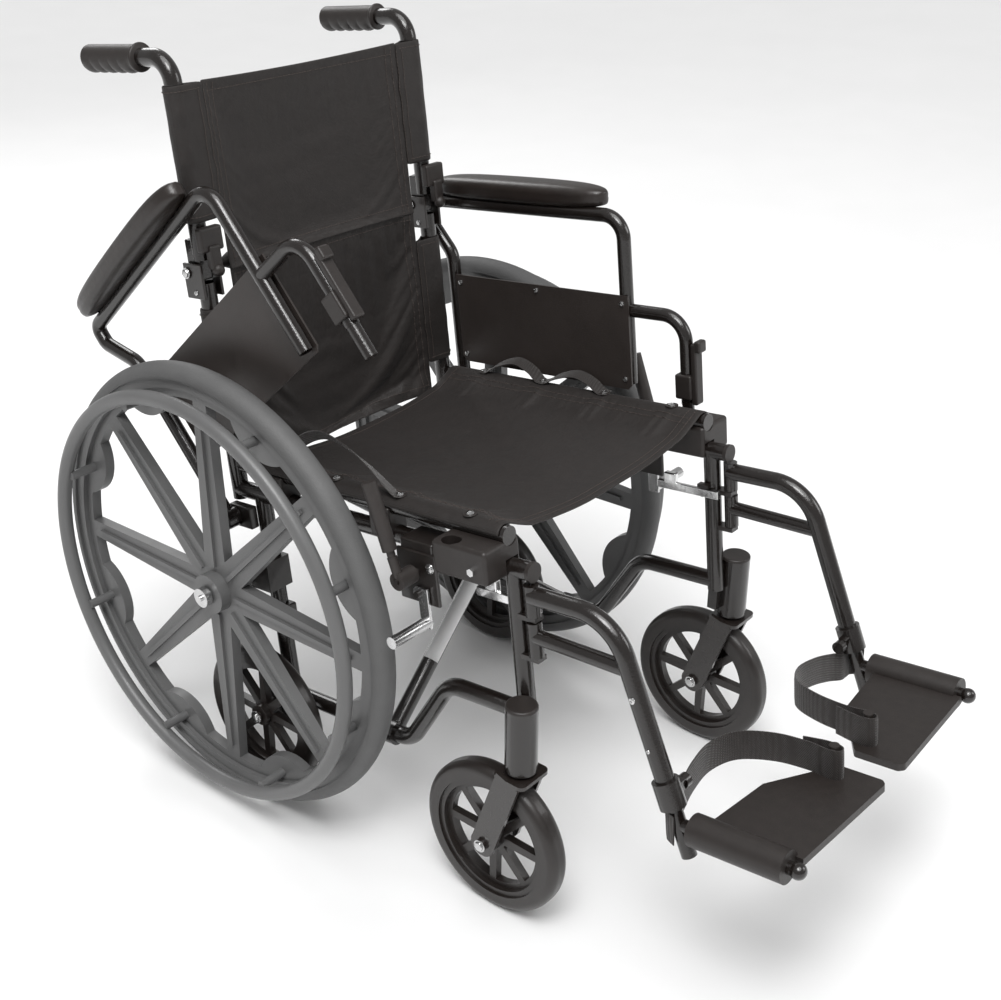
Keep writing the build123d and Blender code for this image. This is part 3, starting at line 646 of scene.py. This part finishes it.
# ---- armrests and grips --------------------------------------------------------------------------
def arm_pads():
    """Moulded pads: crowned, pulled in at the ends, with a parting line round their edge."""
    half_length, half_width = 150.0, 27.0
    stations, ring = 61, 44
    for side_name, side in SIDES:
        place = arm_place(side)
        verts, faces = [], []
        for i in range(stations):
            u = sin((i / (stations - 1) - 0.5) * pi)
            taper = max(1 - abs(u) ** 5, 0.0) ** 0.42
            width = half_width * taper * (0.96 + 0.04 * cos(u * pi))
            crown = 17.0 * (0.35 + 0.65 * taper) * (1 - 0.1 * u * u)
            for k in range(ring):
                angle = 2 * pi * k / ring
                c, s = cos(angle), sin(angle)
                x = width * (1 if c >= 0 else -1) * abs(c) ** 0.62
                lift = crown if s >= 0 else 15.0 * (0.5 + 0.5 * taper)
                h = lift * (1 if s >= 0 else -1) * abs(s) ** 0.72
                groove = 0.9 * exp(-((h - 0.5) / 0.9) ** 2) if taper > 0.2 else 0
                x -= groove * (1 if c >= 0 else -1) * min(1, abs(c) * 3)
                spot = at(side * (ARM_X + 12 + x), ARM_PLACE[0] + u * half_length, ARM_PLACE[1] + h)
                verts.append(place @ spot)
        for i in range(stations - 1):
            for k in range(ring):
                n = (k + 1) % ring
                faces.append((i * ring + k, i * ring + n, (i + 1) * ring + n, (i + 1) * ring + k))
        faces.append(tuple(range(ring)))
        faces.append(tuple((stations - 1) * ring + k for k in range(ring)))
        pad = mesh_piece(side_name + "_moulded_pad", verts, faces, "pad_vinyl", 60)
        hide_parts(side_name + "_arm_pad")
        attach(pad, side_name + "_arm")


def push_grips():
    """Rubber grips with five finger ridges below and a collar at the front."""
    stations, ring = 96, 40
    first, last = 76.0, 188.0
    for side_name, side in SIDES:
        verts, faces = [], []
        for i in range(stations):
            share = i / (stations - 1)
            a = first + share * (last - first)
            end = min(1.0, sqrt(max(0.0, (last - a) / 9)) + 0.02)
            collar = 2.2 * exp(-((a - first - 2.5) / 2.6) ** 4)
            for k in range(ring):
                angle = 2 * pi * k / ring
                below = max(0.0, -sin(angle)) ** 0.8
                inside = 0.0 if share < 0.1 or share > 0.93 else 1.0
                ridge = 3.4 * inside * below * abs(sin((share - 0.1) / 0.83 * 5 * pi)) ** 0.7
                r = (15.2 + collar + ridge) * end
                verts.append(at(side * (FRAME_X + r * cos(angle)), a, CANE_TOP_B + r * sin(angle)))
        for i in range(stations - 1):
            for k in range(ring):
                n = (k + 1) % ring
                faces.append((i * ring + k, i * ring + n, (i + 1) * ring + n, (i + 1) * ring + k))
        faces.append(tuple(range(ring)))
        faces.append(tuple((stations - 1) * ring + k for k in range(ring)))
        grip = mesh_piece(side_name + "_ridged_grip", verts, faces, "grip_rubber", 50)
        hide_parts(side_name + "_push_grip")
        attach(grip, side_name + "_upper_back")


# ---- straps --------------------------------------------------------------------------------------
def seat_straps():
    """Webbing straps that loop up between the seat's screws."""
    top = FABRIC_TOP_B + 1.0
    loops = {
        "right": [(-270, -66, 58, 0.9)],
        "left": [(-166, -64, 20, 0.25), (-272, -172, 16, 0.25)],
    }
    bodies = {"right": "cross_brace_b", "left": "cross_brace_a"}
    for side_name, side in SIDES:
        for number, (front, rear, rise, twist) in enumerate(loops[side_name]):
            span = rear - front
            points = [
                at(side * 200, front - 8, top + 0.4),
                at(side * 201, front + 3, top + 1.0),
                at(side * 206, front + 0.22 * span, top + 0.62 * rise),
                at(side * 209, front + 0.5 * span, top + rise),
                at(side * 206, front + 0.78 * span, top + 0.62 * rise),
                at(side * 201, rear - 3, top + 1.0),
                at(side * 200, rear + 8, top + 0.4),
            ]

            def across(share, turn=twist, sign=side):
                lean = turn * sin(share * pi)
                return X_DIR * cos(lean) + B_DIR * sin(lean) * sign

            name = f"{side_name}_seat_strap_{number + 1}"
            strap = band(name, smooth_line(points), across, SEAT_STRAP_WIDTH, 1.6, "webbing")
            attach(strap, bodies[side_name])


def heel_straps():
    """Webbing heel loops from behind the height tubes round to the posts on the footplates."""
    for side_name, side in SIDES:
        route = [
            (216, -655, -151), (209, -641, -150), (198, -640, -149), (186, -640, -147), (166, -634, -141),
            (136, -628, -134), (100, -627, -129), (68, -643, -126), (50, -682, -124), (45, -722, -124),
            (47.5, -748, -124), (44, -761, -124), (36, -761, -124), (32.5, -752, -124), (33, -736, -124),
            (38.5, -712, -124),
        ]
        points = [at(side * x, a, b) for x, a, b in route]
        strap = band(side_name + "_heel_loop", smooth_line(points, 7), lambda share: B_DIR, HEEL_STRAP_WIDTH,
                     2.0, "webbing")
        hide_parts(side_name + "_heel_strap")
        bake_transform(strap)


# ---- small hardware ------------------------------------------------------------------------------
def hardware():
    """Screws and bolts, gathered into one piece for each body."""
    braces = {"left": "cross_brace_a", "right": "cross_brace_b"}
    for side_name, side in SIDES:
        outward = X_DIR * side
        rail_screws = Lump()
        for a in SCREW_PLACES:
            screw(rail_screws, at(side * FRAME_X, a, FABRIC_TOP_B + 1.4), B_DIR, 5.0)
        finish_hardware(rail_screws, side_name + "_seat_screws", braces[side_name])
        washers = Lump()
        for a in SCREW_PLACES:
            washers.lathe(at(side * FRAME_X, a, FABRIC_TOP_B + 1.2), B_DIR,
                          [(3, 0.5), (8.2, 0.4), (8.6, 0.0), (8.6, -0.8)])
        piece = washers.piece(side_name + "_seat_washers", "black_plastic")
        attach(piece, braces[side_name])

        guard = Lump()
        place = arm_place(side)
        arm_axis = place.to_3x3() @ (-outward)
        for a, b in ((-9, 281), (-9, 174), (-150, 284), (-296, 281), (-296, 176)):
            screw(guard, place @ at(side * (ARM_X - 12.3), a, b), arm_axis, 3.8)
        hex_bolt(guard, place @ at(side * (ARM_X + 10), *ARM_PIVOT), place.to_3x3() @ outward, 5.5, 3.5)
        finish_hardware(guard, side_name + "_arm_screws", side_name + "_arm")

        hinge = Lump()
        for x, axis in ((17.4, outward), (-17.4, -outward)):
            hex_bolt(hinge, at(side * (FRAME_X + x), *BACK_PIVOT), axis, 5.0, 3.0)
            screw(hinge, at(side * (FRAME_X + x - (1.8 if x > 0 else -1.8)), 26, 374), axis, 3.6)
        hex_bolt(hinge, at(side * 256, 0, -204.7), outward, 6.5, 3.5)
        hex_bolt(hinge, at(side * 228.6, -340, 92), outward, 4.6, 3.0)
        finish_hardware(hinge, side_name + "_side_bolts", side_name + "_side")

        wheel_low, wheel_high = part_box(side_name + "_caster_wheel")
        centre = (wheel_low + wheel_high) / 2
        caster = Lump()
        for turn in (1, -1):
            hex_bolt(caster, centre + X_DIR * turn * 30.0 * MM, X_DIR * turn, 6.0, 3.4)
        finish_hardware(caster, side_name + "_caster_bolts", side_name + "_caster_fork")

        leg = Lump()
        screw(leg, at(side * (204 + TUBE_R - 0.2), -608, -3), outward, 4.0)
        screw(leg, at(side * (204 + TUBE_R - 0.2), -626, -60), outward, 2.6)
        finish_hardware(leg, side_name + "_hanger_screws", side_name + "_hanger")

    centre_bolt = Lump()
    middle_b = (SEAT_RAIL_B + LOW_RAIL_B) / 2
    hex_bolt(centre_bolt, at(0, -221, middle_b), -A_DIR, 7.5, 5.0)
    hex_bolt(centre_bolt, at(0, -173, middle_b), A_DIR, 7.5, 5.0)
    centre_bolt.lathe(at(0, -199.2, middle_b), A_DIR, [(9, 0), (9, 4.4)])
    finish_hardware(centre_bolt, "cross_brace_bolt", "cross_brace_a")


def finish_hardware(lump, name, body):
    piece = lump.piece(name, "zinc_steel")
    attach(piece, body)


def blank_label():
    """A plain white label wrapped part-way round the front brace tube."""
    foot, head = at(-FRAME_X, -210, LOW_RAIL_B), at(FRAME_X, -210, SEAT_RAIL_B)
    along = (head - foot).normalized()
    towards = Vector((-0.68, -0.57, 0.46))
    facing = (towards - along * towards.dot(along)).normalized()
    other = along.cross(facing)
    rows, cols = 12, 14
    verts, faces = [], []
    for i in range(rows):
        centre = foot.lerp(head, 0.2 + 0.3 * i / (rows - 1))
        for j in range(cols):
            angle = radians(-62 + 124 * j / (cols - 1))
            verts.append(centre + (facing * cos(angle) + other * sin(angle)) * (TUBE_R + 0.35) * MM)
    for i in range(rows - 1):
        for j in range(cols - 1):
            k = i * cols + j
            faces.append((k, k + 1, k + cols + 1, k + cols))
    label = mesh_piece("blank_label", verts, faces, "label", 180)
    solid = label.modifiers.new("thickness", "SOLIDIFY")
    solid.thickness = 0.3 * MM
    apply_modifiers(label)
    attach(label, "cross_brace_a")


# ---- stage, light and camera ---------------------------------------------------------------------
CAMERA_FROM_AXLE = Vector((-1.27526, -1.31440, 0.95728))
CAMERA_AZIMUTH, CAMERA_ELEVATION, CAMERA_ROLL = radians(-49.892), radians(27.199), radians(0.139)
LENS_MM = 52.03


def camera():
    data = bpy.data.cameras.new("camera")
    data.lens = LENS_MM
    data.sensor_width = 36
    eye = bpy.data.objects.new("camera", data)
    bpy.context.collection.objects.link(eye)
    az, el = CAMERA_AZIMUTH, CAMERA_ELEVATION
    back_dir = Vector((sin(az) * cos(el), -cos(az) * cos(el), sin(el)))
    right_dir = (-back_dir).cross(Vector((0, 0, 1))).normalized()
    up_dir = right_dir.cross(-back_dir)
    c, s = cos(CAMERA_ROLL), sin(CAMERA_ROLL)
    right_dir, up_dir = right_dir * c + up_dir * s, up_dir * c - right_dir * s
    turn = Matrix((right_dir, up_dir, back_dir)).transposed().to_4x4()
    eye.matrix_world = Matrix.Translation(Vector((0, AXLE_Y, AXLE_Z)) + CAMERA_FROM_AXLE) @ turn
    bpy.context.scene.camera = eye


def lamp(name, place, aim, size, power):
    data = bpy.data.lights.new(name, "AREA")
    data.size = size
    data.energy = power
    light = bpy.data.objects.new(name, data)
    bpy.context.collection.objects.link(light)
    turn = (aim - place).to_track_quat("-Z", "Y").to_matrix().to_4x4()
    light.matrix_world = Matrix.Translation(place) @ turn


def studio():
    """Pale floor, bright even surroundings and large soft lights."""
    size = 9.0
    floor = mesh_piece("floor", [(-size, -size, 0), (size, -size, 0), (size, size, 0), (-size, size, 0)],
                       [(0, 1, 2, 3)], "floor")
    world = bpy.data.worlds.new("surroundings")
    world.use_nodes = True
    tree = world.node_tree
    backdrop = tree.nodes["Background"]
    backdrop.inputs["Color"].default_value = (1, 1, 1, 1)
    rays = tree.nodes.new("ShaderNodeLightPath")
    level = tree.nodes.new("ShaderNodeMapRange")
    level.inputs["To Min"].default_value = 0.4
    level.inputs["To Max"].default_value = 1.0
    tree.links.new(rays.outputs["Is Camera Ray"], level.inputs["Value"])
    tree.links.new(level.outputs["Result"], backdrop.inputs["Strength"])
    bpy.context.scene.world = world
    aim = Vector((0, 0, 0.45))
    lamp("key", Vector((-1.6, -1.0, 3.4)), aim, 1.2, 45)
    lamp("fill", Vector((2.2, -2.8, 2.2)), aim, 1.4, 25)
    lamp("rim", Vector((1.2, 3.0, 2.6)), aim, 1.4, 30)
    sky = bpy.data.lights.new("sky", "SUN")
    sky.energy = 2.1
    sky.angle = radians(50)
    high_light = bpy.data.objects.new("sky", sky)
    bpy.context.collection.objects.link(high_light)
    high_light.rotation_euler = (radians(14), radians(-16), 0)
    bpy.context.scene.view_settings.view_transform = "Standard"


finish_cad_nodes()
seat()
back()
arm_pads()
push_grips()
seat_straps()
heel_straps()
hardware()
blank_label()
studio()
camera()
